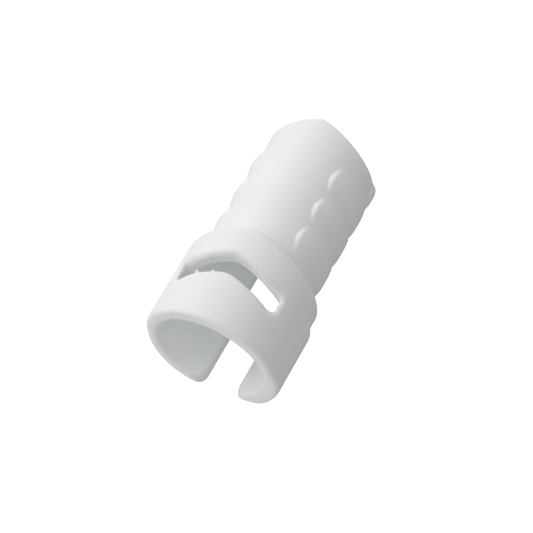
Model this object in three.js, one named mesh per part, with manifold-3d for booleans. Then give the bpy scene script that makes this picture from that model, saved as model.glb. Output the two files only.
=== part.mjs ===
// Slotted cable boot: one flexible plastic moulding, a round sleeve that is open along its underside.
// A wide collar takes the back of a plug, a narrower tail grips the cable, and a cross window behind
// the mouth band lets the two jaws flex. The moulding is divided into the regions that move
// differently: a crown strip that stays put, and a left and a right half that open from it.
// Millimetres. The sleeve lies along Y with its mouth towards -Y and its crown up (+Z).
import * as THREE from 'three';
import { mergeVertices } from 'three/addons/utils/BufferGeometryUtils.js';
import Module from 'manifold-3d';

// Driving dimensions
const COLLAR_RADIUS = 7.05; // outside of the collar and mouth band
const BORE_RADIUS = 5.7; // inside of the collar
const BORE_DROP = 0.15; // the collar's bore sits this far below the axis, so its wall thins to the slit
const TAIL_RADIUS = 5.77; // outside of the tail between its grip pads
const TAIL_BORE_RADIUS = 4.25; // inside of the tail
const SEAT_DEPTH = 9.1; // mouth plane to the ledge that the plug stops against
const SLIT_HALF_WIDTH = 1.6; // half the slit along the collar's underside
const TAIL_SLIT_HALF_WIDTH = 1.85; // the same along the tail
const WINDOW_HALF_WIDTH = 5.15; // half the cross window, measured across the sleeve
const WINDOW_CORNER = 0.45; // corner radius of the window's ends
const CROWN_HALF_WIDTH = 1.5; // half the crown strip that the two halves bend from
const GAP = 0.3; // clearance between neighbouring regions

// Rims lean back from the crown: at a distance x from the centre plane, y = crest - slope * x.
const TAIL_RIM = { crest: 26.2, slope: 0.31 };
const SHOULDER_RIM = { crest: 11.3, slope: 0.27 };
const WINDOW_REAR_RIM = { crest: 7.7, slope: 0.3 };
const WINDOW_FRONT_RIM = { crest: 5.75, slope: 0.28 };

// Grip pads: shallow raised scales round each flank
const PAD_PITCH = 3.7; // from one pad to the next along the sleeve
const PAD_GAP = 0.3; // groove between two pads
const PAD_HEIGHT = 0.34;
const PAD_EDGE = 0.3; // bevel round a pad
const PAD_FIRST = 11.4; // front end of the first pad
const PAD_COUNT = 3; // on each flank
const PAD_ANGLES = [37, 143]; // degrees round from the crown

// The large pad that makes the lower flank of each jaw fuller, from the mouth to its rear end
const JAW_PAD_HEIGHT = 0.44;
const JAW_PAD_REAR = 7.55;
const JAW_PAD_ANGLES = [88, 146];

const ARC_SEGMENTS = 96; // segments in a full turn
const REACH = 40; // larger than the part in every direction
const OVERLAP = 0.4; // how far joined shapes run into each other

const wasm = await Module();
wasm.setup();

// Turns a closed three.js geometry into a manifold-3d solid.
function solid(geometry) {
  const bare = geometry.clone();
  bare.deleteAttribute('normal');
  bare.deleteAttribute('uv');
  const merged = mergeVertices(bare, 1e-5);
  const mesh = new wasm.Mesh({
    numProp: 3,
    vertProperties: Float32Array.from(merged.attributes.position.array),
    triVerts: Uint32Array.from(merged.index.array),
  });
  mesh.merge();
  return new wasm.Manifold(mesh);
}

// Turns a manifold-3d solid back into a three.js geometry.
function geometryOf(shape) {
  const mesh = shape.getMesh();
  const geometry = new THREE.BufferGeometry();
  geometry.setAttribute('position', new THREE.BufferAttribute(mesh.vertProperties, mesh.numProp));
  geometry.setIndex(new THREE.BufferAttribute(mesh.triVerts, 1));
  geometry.computeVertexNormals();
  return geometry;
}

// A point on a circle round the sleeve's axis; the angle counts from the crown towards +X.
function onCircle(radius, degrees) {
  const angle = THREE.MathUtils.degToRad(degrees);
  return new THREE.Vector2(radius * Math.sin(angle), radius * Math.cos(angle));
}

// Extrudes a section, drawn in X and Z, from one distance behind the mouth to another.
function alongSleeve(section, front, rear, bevel = 0) {
  const geometry = new THREE.ExtrudeGeometry(section, {
    depth: rear - front - 2 * bevel,
    curveSegments: ARC_SEGMENTS,
    bevelEnabled: bevel > 0,
    bevelThickness: bevel,
    bevelSize: bevel,
    bevelOffset: -bevel,
    bevelSegments: 4,
  });
  geometry.rotateX(Math.PI / 2);
  geometry.translate(0, rear - bevel, 0);
  return solid(geometry);
}

// A straight length of tube, with its bore lowered by the given drop.
function tube(outerRadius, innerRadius, front, rear, drop = 0) {
  const section = new THREE.Shape().absarc(0, 0, outerRadius, 0, 2 * Math.PI, false);
  section.holes.push(new THREE.Path().absarc(0, -drop, innerRadius, 0, 2 * Math.PI, true));
  return alongSleeve(section, front, rear);
}

// Part of a tube between two angles, with its long edges bevelled.
function sector(outerRadius, innerRadius, [from, to], front, rear, bevel) {
  const steps = Math.round(((to - from) / 360) * ARC_SEGMENTS);
  const angles = Array.from({ length: steps + 1 }, (_, i) => from + ((to - from) * i) / steps);
  const outer = angles.map((angle) => onCircle(outerRadius, angle));
  const inner = angles.map((angle) => onCircle(innerRadius, angle)).reverse();
  return alongSleeve(new THREE.Shape([...outer, ...inner].reverse()), front, rear, bevel);
}

// Everything behind a leaning rim, moved back by an offset.
function behind({ crest, slope }, offset = 0) {
  const top = crest + offset;
  const outline = new THREE.Shape([
    new THREE.Vector2(-REACH, top - slope * REACH),
    new THREE.Vector2(0, top),
    new THREE.Vector2(REACH, top - slope * REACH),
    new THREE.Vector2(REACH, top + REACH),
    new THREE.Vector2(-REACH, top + REACH),
  ]);
  const geometry = new THREE.ExtrudeGeometry(outline, { depth: 2 * REACH, bevelEnabled: false });
  geometry.translate(0, 0, -REACH);
  return solid(geometry);
}

// A box between two corners.
function box(low, high) {
  const size = high.map((value, i) => value - low[i]);
  const centre = high.map((value, i) => (value + low[i]) / 2);
  const geometry = new THREE.BoxGeometry(...size);
  geometry.translate(...centre);
  return solid(geometry);
}

function mirrored(shape) {
  return shape.mirror([1, 0, 0]);
}

// The collar: an open band in front of the seat and a thick shoulder behind it.
function collar() {
  const band = tube(COLLAR_RADIUS, BORE_RADIUS, 0, SEAT_DEPTH, BORE_DROP);
  const shoulder = tube(COLLAR_RADIUS, TAIL_BORE_RADIUS, SEAT_DEPTH, SHOULDER_RIM.crest + OVERLAP);
  return band.add(shoulder).subtract(behind(SHOULDER_RIM));
}

function tail() {
  const sleeve = tube(TAIL_RADIUS, TAIL_BORE_RADIUS, SEAT_DEPTH, TAIL_RIM.crest + OVERLAP);
  return sleeve.subtract(behind(TAIL_RIM));
}

// The raised pads of one flank, in rows along the tail, and the large one under the jaw.
function flankPads() {
  const top = TAIL_RADIUS + PAD_HEIGHT;
  const root = TAIL_RADIUS - OVERLAP;
  let pads = sector(
    COLLAR_RADIUS + JAW_PAD_HEIGHT, COLLAR_RADIUS - OVERLAP, JAW_PAD_ANGLES, 0, JAW_PAD_REAR, PAD_EDGE,
  );
  for (let row = 0; row < PAD_COUNT; row += 1) {
    const front = PAD_FIRST + row * PAD_PITCH + PAD_GAP / 2;
    const rear = PAD_FIRST + (row + 1) * PAD_PITCH - PAD_GAP / 2;
    pads = pads.add(sector(top, root, PAD_ANGLES, front, rear, PAD_EDGE));
  }
  return pads;
}

// The cross window: a slot between two leaning rims, with rounded ends.
function windowCut() {
  const front = WINDOW_FRONT_RIM;
  const rear = WINDOW_REAR_RIM;
  const outline = new THREE.Shape();
  const side = WINDOW_HALF_WIDTH;
  const inner = side - WINDOW_CORNER;
  const yFront = (x) => front.crest - front.slope * x;
  const yRear = (x) => rear.crest - rear.slope * x;
  outline.moveTo(0, yFront(0));
  outline.lineTo(inner, yFront(inner));
  outline.quadraticCurveTo(side, yFront(side), side, yFront(side) + WINDOW_CORNER);
  outline.lineTo(side, yRear(side) - WINDOW_CORNER);
  outline.quadraticCurveTo(side, yRear(side), inner, yRear(inner));
  outline.lineTo(0, yRear(0));
  outline.lineTo(-inner, yRear(inner));
  outline.quadraticCurveTo(-side, yRear(side), -side, yRear(side) - WINDOW_CORNER);
  outline.lineTo(-side, yFront(side) + WINDOW_CORNER);
  outline.quadraticCurveTo(-side, yFront(side), -inner, yFront(inner));
  const depth = 2 * COLLAR_RADIUS;
  const geometry = new THREE.ExtrudeGeometry(outline, { depth, bevelEnabled: false, curveSegments: 8 });
  return solid(geometry);
}

// The slit that lets the cable in sideways, a little wider along the tail.
function slit() {
  const collarCut = box([-SLIT_HALF_WIDTH, -REACH, -REACH], [SLIT_HALF_WIDTH, REACH, 0]);
  const wide = TAIL_SLIT_HALF_WIDTH;
  const tailCut = box([-wide, SHOULDER_RIM.crest - SHOULDER_RIM.slope * wide, -REACH], [wide, REACH, 0]);
  return collarCut.add(tailCut);
}

function moulding() {
  const pads = flankPads();
  return collar().add(tail()).add(pads).add(mirrored(pads)).subtract(windowCut()).subtract(slit());
}

// Divides the moulding along its length and round its section.
function regions() {
  const whole = moulding();
  const lengthwise = {
    mouth: whole.subtract(behind(WINDOW_FRONT_RIM)),
    collar: whole.intersect(behind(WINDOW_FRONT_RIM, GAP)).subtract(behind(SHOULDER_RIM)),
    tail: whole.intersect(behind(SHOULDER_RIM, GAP)),
  };
  const strip = (half) => box([-half, -REACH, 0], [half, REACH, REACH]);
  const crownStrip = strip(CROWN_HALF_WIDTH - GAP / 2);
  const rightHalf = box([0, -REACH, -REACH], [REACH, REACH, REACH]).subtract(
    strip(CROWN_HALF_WIDTH + GAP / 2),
  );
  const crown = (part) => part.intersect(crownStrip);
  const right = (part) => part.intersect(rightHalf);
  const left = (part) => part.intersect(mirrored(rightHalf));
  return {
    tail_crown: crown(lengthwise.tail),
    collar_crown: crown(lengthwise.collar),
    mouth_crown: crown(lengthwise.mouth),
    left_tail_flank: left(lengthwise.tail),
    left_collar_side: left(lengthwise.collar),
    left_jaw: left(lengthwise.mouth),
    right_tail_flank: right(lengthwise.tail),
    right_collar_side: right(lengthwise.collar),
    right_jaw: right(lengthwise.mouth),
  };
}

// Soft white plastic, the same all through
function plastic() {
  return new THREE.MeshStandardMaterial({ color: 0xeeeeec, roughness: 0.55, metalness: 0 });
}

// The part rests on the two edges of its slit, and its origin is under the middle of its length.
const boot = new THREE.Group();
const restingDrop = Math.sqrt(COLLAR_RADIUS ** 2 - SLIT_HALF_WIDTH ** 2);
boot.position.set(0, -TAIL_RIM.crest / 2, restingDrop);
for (const [name, shape] of Object.entries(regions())) {
  const mesh = new THREE.Mesh(geometryOf(shape), plastic());
  mesh.name = name;
  boot.add(mesh);
}

export default boot;
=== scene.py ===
# Slotted cable boot: the looks. One flexible moulding is drawn as two skins, left and right, that
# meet at the crown plane and are continuous there.
# Its shape is one distance field in millimetres, turned into metres on the way into Blender.
import math

import bpy
import numpy as np
from mathutils import Matrix, Vector


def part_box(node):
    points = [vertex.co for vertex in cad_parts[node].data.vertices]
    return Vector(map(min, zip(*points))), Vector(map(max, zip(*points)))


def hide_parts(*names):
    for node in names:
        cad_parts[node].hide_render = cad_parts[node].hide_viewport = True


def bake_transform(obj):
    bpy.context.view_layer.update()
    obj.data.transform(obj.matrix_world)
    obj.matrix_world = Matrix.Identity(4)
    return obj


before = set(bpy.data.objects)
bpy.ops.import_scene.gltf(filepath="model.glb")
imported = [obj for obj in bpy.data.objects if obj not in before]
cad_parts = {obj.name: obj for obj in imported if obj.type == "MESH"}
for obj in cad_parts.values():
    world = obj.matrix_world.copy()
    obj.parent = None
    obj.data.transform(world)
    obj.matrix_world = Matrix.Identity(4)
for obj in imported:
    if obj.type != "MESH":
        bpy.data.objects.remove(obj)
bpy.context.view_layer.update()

MM = 0.001

# ---------------------------------------------------------------- dimensions, mm
# The sleeve's own frame: x across, y back from the mouth, z up from the sleeve's axis. Angles are
# degrees round from the crown, the same to the left and to the right.
COLLAR_RADIUS = 7.05
BORE_RADIUS = 5.7  # inside of the collar
BORE_DROP = 0.15  # the collar's bore sits this far below the axis
TAIL_RADIUS = 5.77
TAIL_BORE_RADIUS = 4.25
SEAT_DEPTH = 9.1  # mouth to the ledge between the two bores
SLIT_HALF_WIDTH = 1.56  # along the collar, at its outside
SLIT_FLARE = 0.34  # how much wider each side of that gets, for each mm inwards
TAIL_SLIT_HALF_WIDTH = 1.85
SLIT_WIDENS = (SEAT_DEPTH - 0.5, SEAT_DEPTH + 1.0)  # from the collar's width to the tail's
WINDOW_ENDS = (5.1, 5.0)  # left and right of the crown plane

# Rims lean back from the crown to both sides: y falls from the crest by the slope, for each mm
# across, and the bend at the crown is rounded off.
TAIL_RIM = {"crest": 26.15, "slope": 0.31, "round": 0.35}
SHOULDER_RIM = {"crest": 11.3, "slope": 0.27, "round": 1.0}
WINDOW_REAR_RIM = {"crest": 7.7, "slope": 0.31, "round": 0.5}
WINDOW_FRONT_RIM = {"crest": 5.75, "slope": 0.28, "round": 0.5}

# The mouth leans: its lower side stands furthest forward.
MOUTH_PROUD = 0.06  # how far it stands forward, level with the axis
MOUTH_LEAN = 0.012  # how far it goes back, for each mm up

# Edge roundings
MOUTH_FILLET = {"angles": (40, 90, 130), "radii": (0.5, 0.85, 0.5)}
LEAD_IN = {"angles": (30, 85, 130), "radii": (0.35, 0.45, 0.25)}  # the mouth's inner edge
SHOULDER_FILLET = 0.65
SHOULDER_ROOT = 0.25  # where the tail leaves the collar
TAIL_FILLET = 0.2
LEG_CORNER = 1.5  # between the mouth and the slit
BORE_FILLET = 0.15
SLIT_FILLET = 0.4  # takes over from the bore's towards the slit
SLIT_FILLET_ANGLES = (135, 155)
WINDOW_FILLET = {"across": (-5, -3.2, 3.6, 5), "radii": (1.1, 0.6, 0.6, 0.85)}
WINDOW_CORNERS = {"front": 0.6, "rear": 0.2}

# Grip pads in rows along the tail; the last row is cut short by the tail's rim
PAD_FIRST = 11.4  # front end of the first row
PAD_PITCH = 3.7
PAD_HALF_LENGTH = 1.82
PAD_HEIGHT = 0.33
PAD_CORNER = 0.7
PAD_FOOT = 143  # angle of the lower end
PAD_GROOVE_ANGLES = (55, 105)  # the grooves between pads sharpen between these
FULL_ROW = {"left_top": 48, "right_top": 35, "edge": 0.5}
LAST_ROW = {"left_top": 92, "right_top": 90, "edge": 0.7}
PAD_ROWS = (FULL_ROW, FULL_ROW, FULL_ROW, LAST_ROW)

# The fuller lower flank of each jaw
JAW_PAD_HEIGHT = 0.42
JAW_PAD_RISES = (78, 104)  # angles
JAW_PAD_FALLS = (140, 160)
JAW_PAD_STARTS = (0.6, 2.2)  # along the sleeve, on the left only
JAW_PAD_ENDS = (6.7, 7.8)

# Gate pips on the window's front edge: place across the sleeve and radius
PIPS = ((-2.95, 0.22), (-1.4, 0.15))
PIP_DEPTH = 0.24  # below the collar's outside
PIP_INSET = 0.08  # in front of the window's edge
PIP_ROOT = 0.1

# ---------------------------------------------------------------- plastic and studio
TONES = ((0.838, 0.848, 0.862, 1), (0.866, 0.876, 0.89, 1))  # of the faint mottling
PAINTED_BORE_LIGHT_COLOUR = (0.955, 0.97, 0.975, 1)  # painted light: a lighter colour round the bores, standing in for light that comes through the thin walls
PAINTED_BORE_LIGHT_REACH = 0.5  # mm of plastic over which that painted light fades out

# Lights and floor; lengths in metres
FLOOR_REACH = 1.5
SKY_STRENGTH = 0.385
LIGHT_DISTANCE = 0.5
LIGHT_SIZE = 0.6
LIGHTS = {  # direction from the boot, and watts
    "key": ((-0.7, -0.1, 0.7), 1.37),
    "behind_left": ((-0.6, 0.6, 0.5), 0.55),
    "behind": ((0, 0.8, 0.6), 0.4),
    "low_front": ((-0.45, -0.65, -0.6), 0.5),
    "front_right": ((0.5, -0.5, 0.7), 0.3),
}

CAMERA_AZIMUTH = 36.5  # degrees round from the mouth's side towards +X
CAMERA_ELEVATION = 55.5
CAMERA_ROLL = -11.5
CAMERA_DISTANCE = 251.4  # mm
CAMERA_AIM = (0.36, 11.5)  # mm across and back from the mouth, level with the axis
CAMERA_LENS = 174  # mm
CAMERA_SENSOR = 36  # mm

STEP = 0.125  # mm between grid points of the skin

# Where the sleeve's own frame lies in the shared frame
MOUTH_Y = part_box("mouth_crown")[0][1]
AXIS_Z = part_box("mouth_crown")[1][2] - COLLAR_RADIUS * MM


# ---------------------------------------------------------------- the moulding as a distance field
def round_max(a, b, radius):
    """Both solids at once, with the edge between their faces rounded."""
    u = np.maximum(a + radius, 0)
    v = np.maximum(b + radius, 0)
    return np.minimum(-radius, np.maximum(a, b)) + np.hypot(u, v)


def round_min(a, b, radius):
    """Either solid, with the corner between their faces filled."""
    return -round_max(-a, -b, radius)


def smooth_step(low, high, value):
    t = np.clip((value - low) / (high - low), 0, 1)
    return t * t * (3 - 2 * t)


def rim_at(x, rim):
    """Where a leaning rim lies along the sleeve, at x across it."""
    return rim["crest"] - rim["slope"] * (np.hypot(x, rim["round"]) - rim["round"])


def behind_rim(x, y, rim):
    """How far a point lies behind a leaning rim."""
    return (y - rim_at(x, rim)) / math.hypot(1, rim["slope"])


def angle_from_crown(x, z):
    return np.degrees(np.arctan2(np.abs(x), z))


def grip_pads(x, y, angle):
    """Height of the tail's pads, from 0 to 1: each rises at its upper end and arches along the tail."""
    grooved = smooth_step(*PAD_GROOVE_ANGLES, angle)
    height = np.zeros_like(y)
    for number, row in enumerate(PAD_ROWS):
        along = (y - PAD_FIRST) / PAD_PITCH - number - 0.5
        along = np.clip(np.abs(along) * PAD_PITCH / PAD_HALF_LENGTH, 0, 1)
        top = np.where(x < 0, row["left_top"], row["right_top"])
        inset = np.radians(np.minimum(angle - top, PAD_FOOT - angle)) * TAIL_RADIUS - PAD_CORNER * along ** 2
        rise = np.sin(np.clip(inset / row["edge"], 0, 1) * math.pi / 2)
        soft = (1 - along ** 2) ** 2
        crisp = 1 - along ** 4
        height = np.maximum(height, rise * (soft + (crisp - soft) * grooved))
    return height


def jaw_pad(x, y, angle):
    """Height of the fuller lower flank of a jaw, from 0 to 1; on the left it stops short of the mouth."""
    rise = smooth_step(*JAW_PAD_RISES, angle) * (1 - smooth_step(*JAW_PAD_FALLS, angle))
    rise = rise * (1 - smooth_step(*JAW_PAD_ENDS, y))
    return np.where(x < 0, rise * smooth_step(*JAW_PAD_STARTS, y), rise)


def boot(x, y, z):
    """Signed distance to the whole boot's surface, negative inside the plastic."""
    radius = np.hypot(x, z)
    angle = angle_from_crown(x, z)

    collar = radius - COLLAR_RADIUS - JAW_PAD_HEIGHT * jaw_pad(x, y, angle)
    collar = round_max(collar, behind_rim(x, y, SHOULDER_RIM), SHOULDER_FILLET)
    tail = radius - TAIL_RADIUS - PAD_HEIGHT * grip_pads(x, y, angle)
    body = round_min(collar, tail, SHOULDER_ROOT)

    mouth = MOUTH_LEAN * z - MOUTH_PROUD - y
    mouth_and_slit = round_max(mouth, slit(x, y, z), LEG_CORNER)
    mouth_fillet = np.interp(angle, MOUTH_FILLET["angles"], MOUTH_FILLET["radii"])
    body = round_max(body, mouth_and_slit, mouth_fillet)
    body = round_max(body, behind_rim(x, y, TAIL_RIM), TAIL_FILLET)

    window_fillet = np.interp(x, WINDOW_FILLET["across"], WINDOW_FILLET["radii"])
    body = round_max(body, -window(x, y, z), window_fillet)
    body = round_min(body, gate_pips(x, y, z), PIP_ROOT)
    near_slit = smooth_step(*SLIT_FILLET_ANGLES, angle)
    return round_max(body, -hollow(x, y, z), BORE_FILLET + (SLIT_FILLET - BORE_FILLET) * near_slit)


def slit(x, y, z):
    """How far a point lies inside the slit along the underside; it flares inwards along the collar."""
    at_tail = smooth_step(*SLIT_WIDENS, y)
    inwards = np.maximum(COLLAR_RADIUS - np.hypot(x, z), 0)
    half_width = SLIT_HALF_WIDTH + (TAIL_SLIT_HALF_WIDTH - SLIT_HALF_WIDTH) * at_tail
    half_width = half_width + SLIT_FLARE * inwards * (1 - at_tail)
    return np.minimum(half_width - np.abs(x), -z)


def hollow(x, y, z):
    """Distance to the space inside: the plug's bore, the cable's, and all that is in front of the mouth."""
    plug_bore = round_max(np.hypot(x, z + BORE_DROP) - BORE_RADIUS, y - SEAT_DEPTH, BORE_FILLET)
    bore = round_min(plug_bore, np.hypot(x, z) - TAIL_BORE_RADIUS, BORE_FILLET)
    lead_in = np.interp(angle_from_crown(x, z), LEAD_IN["angles"], LEAD_IN["radii"])
    return round_min(bore, y, lead_in)


def window(x, y, z):
    """Distance to the cross window, negative inside it."""
    front = -behind_rim(x, y, WINDOW_FRONT_RIM)
    rear = behind_rim(x, y, WINDOW_REAR_RIM)
    sides = np.maximum(-x - WINDOW_ENDS[0], x - WINDOW_ENDS[1])
    outline = round_max(front, sides, WINDOW_CORNERS["front"])
    outline = round_max(outline, rear, WINDOW_CORNERS["rear"])
    return np.maximum(outline, -z)


def gate_pips(x, y, z):
    """Distance to the two small pips left on the window's front edge where the plastic was let in."""
    nearest = np.full_like(x, np.inf)
    for across, radius in PIPS:
        along = rim_at(across, WINDOW_FRONT_RIM) - PIP_INSET
        up = math.sqrt(COLLAR_RADIUS ** 2 - across ** 2) - PIP_DEPTH
        distance = np.sqrt((x - across) ** 2 + (y - along) ** 2 + (z - up) ** 2) - radius
        nearest = np.minimum(nearest, distance)
    return nearest


# ---------------------------------------------------------------- field to mesh
def half_boot(points, side):
    """The boot's field at points of one half, drawn with x outwards; side is 1 for +X and -1 for -X."""
    x, y, z = points.T
    return boot(side * x, y, z)


def gradient(points, side, small=1e-4):
    columns = []
    for offset in np.eye(3) * small:
        rise = half_boot(points + offset, side) - half_boot(points - offset, side)
        columns.append(rise / (2 * small))
    return np.stack(columns, axis=1)


def settle(points, side, on_plane, rounds=4, least_steepness=0.05):
    """Moves points onto the surface; those on the crown plane stay on it."""
    for _ in range(rounds):
        slope = gradient(points, side)
        slope[on_plane, 0] = 0
        steepness = np.maximum((slope * slope).sum(axis=1), least_steepness)
        move = -half_boot(points, side) / steepness
        points = points + np.clip(move, -STEP, STEP)[:, None] * slope
    return points


def surface_net(field):
    """The surface where a grid of values changes sign: vertices in grid steps, their cells, and quads."""
    inside = field < 0
    shape = np.array(field.shape) - 1
    corners = [np.array((i, j, k)) for i in (0, 1) for j in (0, 1) for k in (0, 1)]
    count = np.zeros(shape, np.int8)
    for i, j, k in corners:
        count += inside[i:i + shape[0], j:j + shape[1], k:k + shape[2]]
    cells = np.argwhere((count > 0) & (count < 8))
    index = np.full(shape, -1, np.int64)
    index[tuple(cells.T)] = np.arange(len(cells))

    total = np.zeros((len(cells), 3))
    hits = np.zeros(len(cells))
    for a in corners:
        for axis in range(3):
            if a[axis]:
                continue
            b = a.copy()
            b[axis] = 1
            at_a = field[tuple((cells + a).T)]
            at_b = field[tuple((cells + b).T)]
            crossed = (at_a < 0) != (at_b < 0)
            share = np.where(crossed, at_a / np.where(crossed, at_a - at_b, 1), 0)
            place = a + share[:, None] * (b - a)
            total[crossed] += place[crossed]
            hits[crossed] += 1
    vertices = cells + total / hits[:, None]

    quads = []
    for axis in range(3):
        b, c = (axis + 1) % 3, (axis + 2) % 3
        first = np.take(inside, range(shape[axis]), axis)
        second = np.take(inside, range(1, shape[axis] + 1), axis)
        edges = np.argwhere(first != second)
        edges = edges[(edges[:, b] > 0) & (edges[:, c] > 0)]
        edges = edges[(edges[:, b] < shape[b]) & (edges[:, c] < shape[c])]
        ring = []
        for db, dc in ((-1, -1), (0, -1), (0, 0), (-1, 0)):
            cell = edges.copy()
            cell[:, b] += db
            cell[:, c] += dc
            ring.append(index[tuple(cell.T)])
        ring = np.stack(ring, axis=1)
        leaving = first[tuple(edges.T)]
        ring[~leaving] = ring[~leaving][:, ::-1]
        quads.append(ring)
    return vertices, cells, np.concatenate(quads)


def half_skin(side):
    """Half of the boot, drawn with x outwards: its points, quads and normals, which quads close it at
    the crown plane, and how close each point is to the hollow, from 0 to 1, which masks the light painted
    round the bores."""
    margin = 3 * STEP
    reach = COLLAR_RADIUS + JAW_PAD_HEIGHT + margin
    xs = np.arange(-0.5 * STEP, reach, STEP)
    ys = np.arange(-margin, TAIL_RIM["crest"] + margin, STEP)
    zs = np.arange(-reach, reach, STEP)
    x, y, z = np.meshgrid(xs, ys, zs, indexing="ij")
    field = np.maximum(boot(side * x, y, z), -x)
    vertices, cells, quads = surface_net(field)
    points = np.array([xs[0], ys[0], zs[0]]) + vertices * STEP

    on_plane = cells[:, 0] == 0
    points[on_plane, 0] = 0
    corner_values = [
        field[tuple((cells + np.array((1, j, k))).T)] for j in (0, 1) for k in (0, 1)
    ]
    buried = on_plane & (np.max(corner_values, axis=0) < 0)
    points[~buried] = settle(points[~buried], side, on_plane[~buried])
    normals = gradient(points, side)
    normals[on_plane, 0] = 0
    normals /= np.maximum(np.linalg.norm(normals, axis=1), 1e-9)[:, None]
    closing = on_plane[quads].all(axis=1)
    x, y, z = points.T
    # mask of the painted light: 1 at the hollow's surface, fading to 0 deeper in the plastic
    painted_bore_light = smooth_step(PAINTED_BORE_LIGHT_REACH, 0, hollow(side * x, y, z))
    return points, quads, normals, closing, painted_bore_light


def skin_object(name, side):
    """A Blender mesh of one half."""
    points, quads, normals, closing, painted_bore_light = half_skin(side)
    flip = np.array([side, 1, 1])
    points = points * flip * MM + np.array([0, MOUTH_Y, AXIS_Z])
    normals = normals * flip
    if side < 0:
        quads = quads[:, ::-1]
    mesh = bpy.data.meshes.new(name)
    mesh.from_pydata(points.tolist(), [], quads.tolist())
    mesh.polygons.foreach_set("use_smooth", np.ones(len(quads), bool))
    corner_normals = normals[quads]
    corner_normals[closing] = (-side, 0, 0)
    mesh.normals_split_custom_set(corner_normals.reshape(-1, 3).tolist())
    # carries the mask of the light painted round the bores
    mesh.attributes.new("painted_bore_light", "FLOAT", "POINT").data.foreach_set("value", painted_bore_light)
    mesh.update()
    skin = bpy.data.objects.new(name, mesh)
    bpy.context.collection.objects.link(skin)
    return skin


# ---------------------------------------------------------------- materials
def new_material(name):
    material = bpy.data.materials.new(name)
    material.use_nodes = True
    return material, material.node_tree.nodes["Principled BSDF"]


def boot_plastic():
    """Soft white moulded plastic: faint mottling, a fine grain, a dull sheen, and painted light round the
    bores, a lighter colour standing in for light coming through the thin walls.
    """
    material, shader = new_material("boot_plastic")
    nodes = material.node_tree.nodes
    links = material.node_tree.links
    place = nodes.new("ShaderNodeTexCoord")

    mottle = nodes.new("ShaderNodeTexNoise")
    mottle.inputs["Scale"].default_value = 180
    mottle.inputs["Detail"].default_value = 4
    tone = nodes.new("ShaderNodeValToRGB")
    for element, position, colour in zip(tone.color_ramp.elements, (0.3, 0.7), TONES):
        element.position = position
        element.color = colour
    links.new(place.outputs["Object"], mottle.inputs["Vector"])
    links.new(mottle.outputs["Fac"], tone.inputs["Fac"])

    # painted light: surfaces near the hollow are tinted lighter, standing in for light that comes through
    # the thin walls
    painted_bore_light = nodes.new("ShaderNodeAttribute")
    painted_bore_light.attribute_name = "painted_bore_light"
    shade = nodes.new("ShaderNodeMix")
    shade.data_type = "RGBA"
    shade.inputs[7].default_value = PAINTED_BORE_LIGHT_COLOUR
    links.new(painted_bore_light.outputs["Fac"], shade.inputs[0])
    links.new(tone.outputs["Color"], shade.inputs[6])
    links.new(shade.outputs[2], shader.inputs["Base Color"])

    gloss = nodes.new("ShaderNodeMapRange")
    gloss.inputs["To Min"].default_value = 0.48
    gloss.inputs["To Max"].default_value = 0.6
    links.new(mottle.outputs["Fac"], gloss.inputs["Value"])
    links.new(gloss.outputs["Result"], shader.inputs["Roughness"])

    grain = nodes.new("ShaderNodeTexNoise")
    grain.inputs["Scale"].default_value = 5200
    grain.inputs["Detail"].default_value = 3
    bump = nodes.new("ShaderNodeBump")
    bump.inputs["Strength"].default_value = 0.06
    bump.inputs["Distance"].default_value = 0.02 * MM
    links.new(place.outputs["Object"], grain.inputs["Vector"])
    links.new(grain.outputs["Fac"], bump.inputs["Height"])
    links.new(bump.outputs["Normal"], shader.inputs["Normal"])

    shader.inputs["IOR"].default_value = 1.46
    shader.inputs["Specular IOR Level"].default_value = 0.35
    return material


def studio_floor():
    material, shader = new_material("studio_floor")
    shader.inputs["Base Color"].default_value = (0.6, 0.6, 0.6, 1)
    shader.inputs["Roughness"].default_value = 0.9
    shader.inputs["Specular IOR Level"].default_value = 0.0
    shader.inputs["Emission Color"].default_value = (1, 1, 1, 1)
    shader.inputs["Emission Strength"].default_value = 1.0
    return material


# ---------------------------------------------------------------- the boot
def bend(skin):
    """Bakes the skin's transform into its mesh; the skin is not bent."""
    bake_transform(skin)


plastic = boot_plastic()
for half_name, side, nodes in (
    ("left", -1, ("tail_crown", "left_tail_flank", "left_collar_side", "left_jaw")),
    ("right", 1, ("collar_crown", "mouth_crown", "right_tail_flank", "right_collar_side", "right_jaw")),
):
    skin = skin_object(f"{half_name}_half_skin", side)
    skin.data.materials.append(plastic)
    bend(skin)
    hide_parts(*nodes)


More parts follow.
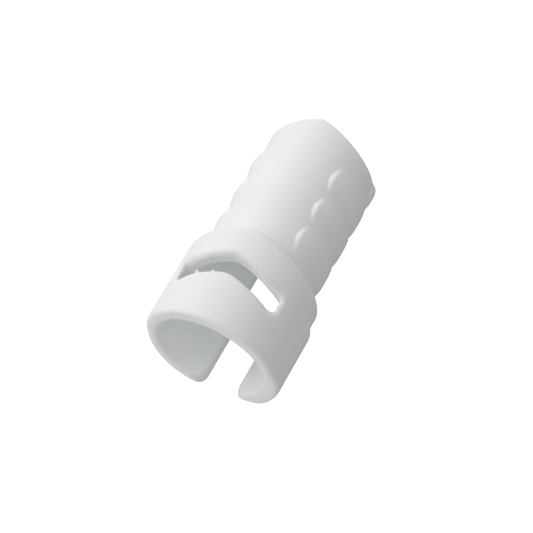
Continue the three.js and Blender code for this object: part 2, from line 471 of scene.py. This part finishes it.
# ---------------------------------------------------------------- floor, light and camera
def floor():
    mesh = bpy.data.meshes.new("studio_floor")
    reach = FLOOR_REACH
    corners = [(-reach, -reach, 0), (reach, -reach, 0), (reach, reach, 0), (-reach, reach, 0)]
    mesh.from_pydata(corners, [], [(0, 1, 2, 3)])
    mesh.materials.append(studio_floor())
    stage = bpy.data.objects.new("studio_floor", mesh)
    stage.visible_diffuse = False
    stage.visible_glossy = False
    stage.visible_shadow = False
    bpy.context.collection.objects.link(stage)


def look_from(direction, distance, aim, roll=0.0):
    """A matrix for something at a distance from aim, looking back at it."""
    back = Vector(direction).normalized()
    right = Vector((-back.y, back.x, 0)).normalized()
    up = back.cross(right)
    turn = Matrix.Rotation(roll, 3, back)
    right, up = turn @ right, turn @ up
    rotation = Matrix((right, up, back)).transposed().to_4x4()
    return Matrix.Translation(aim + back * distance) @ rotation


def area_light(name, direction, distance, size, power):
    light = bpy.data.lights.new(name, "AREA")
    light.shape = "DISK"
    light.size = size
    light.energy = power
    lamp = bpy.data.objects.new(name, light)
    lamp.matrix_world = look_from(direction, distance, Vector((0, 0, AXIS_Z)))
    bpy.context.collection.objects.link(lamp)


def studio():
    floor()
    world = bpy.data.worlds.new("studio")
    world.use_nodes = True
    sky = world.node_tree.nodes["Background"]
    sky.inputs["Color"].default_value = (1, 1, 1, 1)
    sky.inputs["Strength"].default_value = SKY_STRENGTH
    bpy.context.scene.world = world
    bpy.context.scene.view_settings.view_transform = "Standard"
    for name, (direction, power) in LIGHTS.items():
        area_light(name, direction, LIGHT_DISTANCE, LIGHT_SIZE, power)


def camera():
    azimuth = math.radians(CAMERA_AZIMUTH)
    elevation = math.radians(CAMERA_ELEVATION)
    back = (
        math.sin(azimuth) * math.cos(elevation),
        -math.cos(azimuth) * math.cos(elevation),
        math.sin(elevation),
    )
    across, along = CAMERA_AIM
    aim = Vector((across * MM, MOUTH_Y + along * MM, AXIS_Z))
    data = bpy.data.cameras.new("camera")
    data.lens = CAMERA_LENS
    data.sensor_width = CAMERA_SENSOR
    data.clip_start = 0.01
    eye = bpy.data.objects.new("camera", data)
    eye.matrix_world = look_from(back, CAMERA_DISTANCE * MM, aim, math.radians(CAMERA_ROLL))
    bpy.context.collection.objects.link(eye)
    bpy.context.scene.camera = eye


studio()
camera()

bpy.context.view_layer.update()
